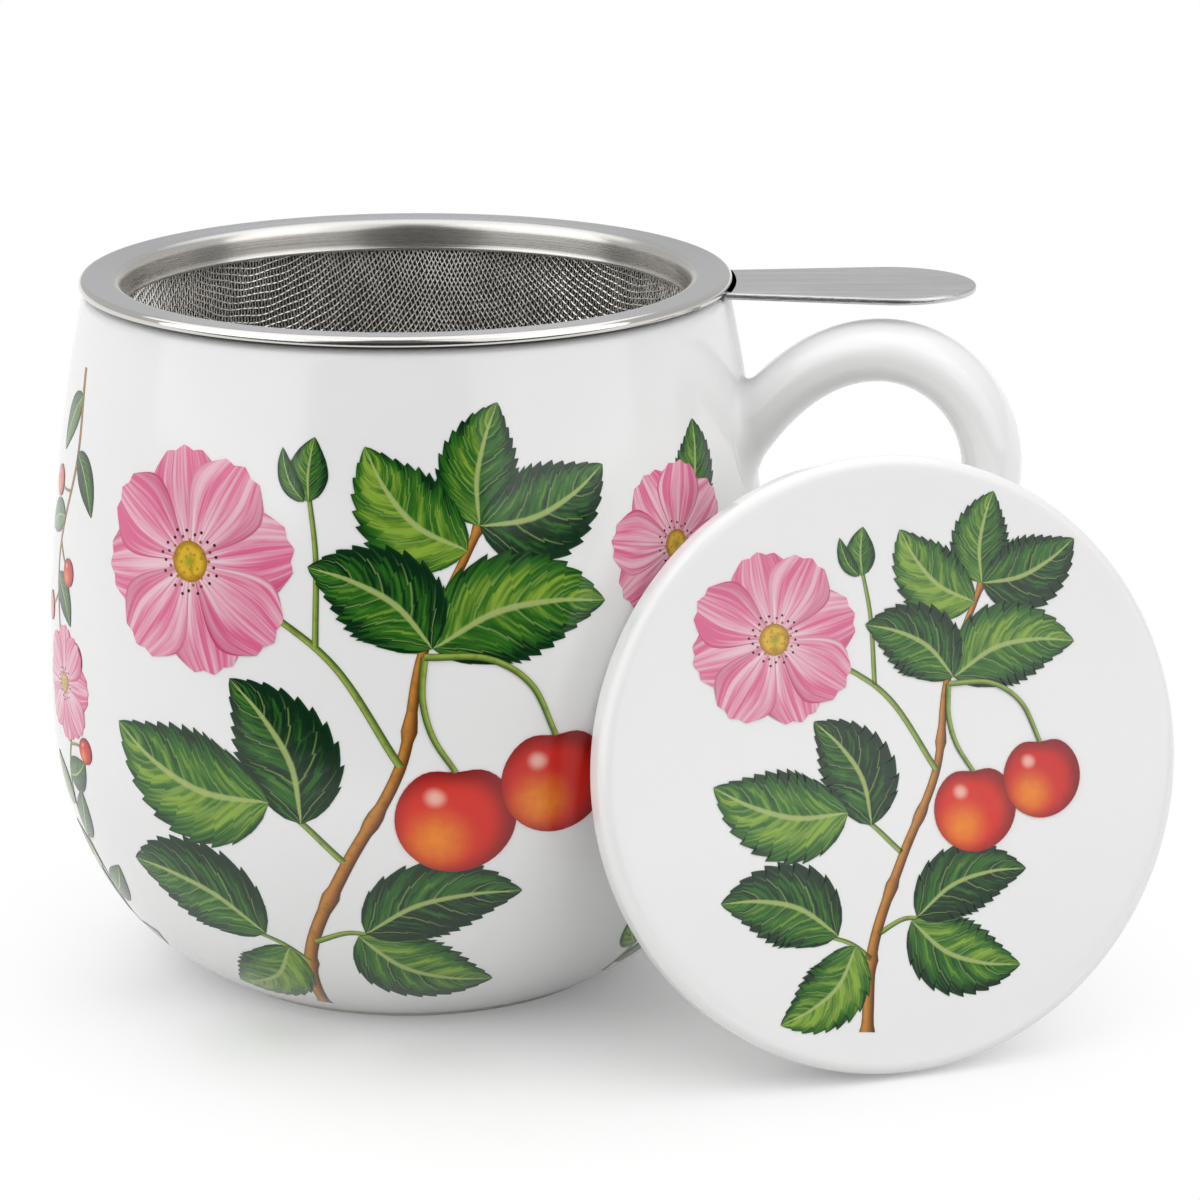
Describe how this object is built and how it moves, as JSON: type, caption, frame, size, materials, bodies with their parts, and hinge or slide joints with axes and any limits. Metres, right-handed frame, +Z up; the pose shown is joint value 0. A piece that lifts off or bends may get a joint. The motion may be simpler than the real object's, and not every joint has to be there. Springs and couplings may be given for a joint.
{
  "type": "lidded tea mug with infuser",
  "caption": "Bellied porcelain mug with an ear handle, a lift-out mesh infuser with a lifting tab, and a loose flat lid standing beside it.",
  "frame": {"origin": "Middle of the mug's foot, on the surface that the mug stands on.", "axes": "+Z is up along the mug's axis. +X points towards the infuser's tab. -Y is the side that faces the viewer, where the lid stands."},
  "size_m": [0.1481, 0.1043, 0.0943],
  "materials": {
    "body_porcelain": "glossy white glaze with a printed plant design under it",
    "handle_porcelain": "glossy white glaze",
    "rim_steel": "spun stainless, finely brushed round",
    "band_steel": "bright stainless band",
    "mesh_steel": "fine woven stainless wire",
    "tab_steel": "flat stainless sheet, brushed lengthwise",
    "lid_porcelain": "glossy white glaze with a printed plant design under it"
  },
  "bodies": {
    "mug": {"mug_body": "body_porcelain", "mug_handle": "handle_porcelain"},
    "infuser": {"infuser_rim": "rim_steel", "infuser_clamp_band": "band_steel", "infuser_mesh_basket": "mesh_steel", "infuser_tab": "tab_steel"},
    "lid": {"lid": "lid_porcelain"}
  },
  "joints": [
    {"name": "infuser_lift", "type": "slide", "parent": "mug", "child": "infuser", "axis": [0, 0, 1], "range_m": [0, 0.075]},
    {"name": "lid_lift", "type": "slide", "parent": "mug", "child": "lid", "axis": [0, 0, 1], "range_m": [0, 0.11]}
  ]
}
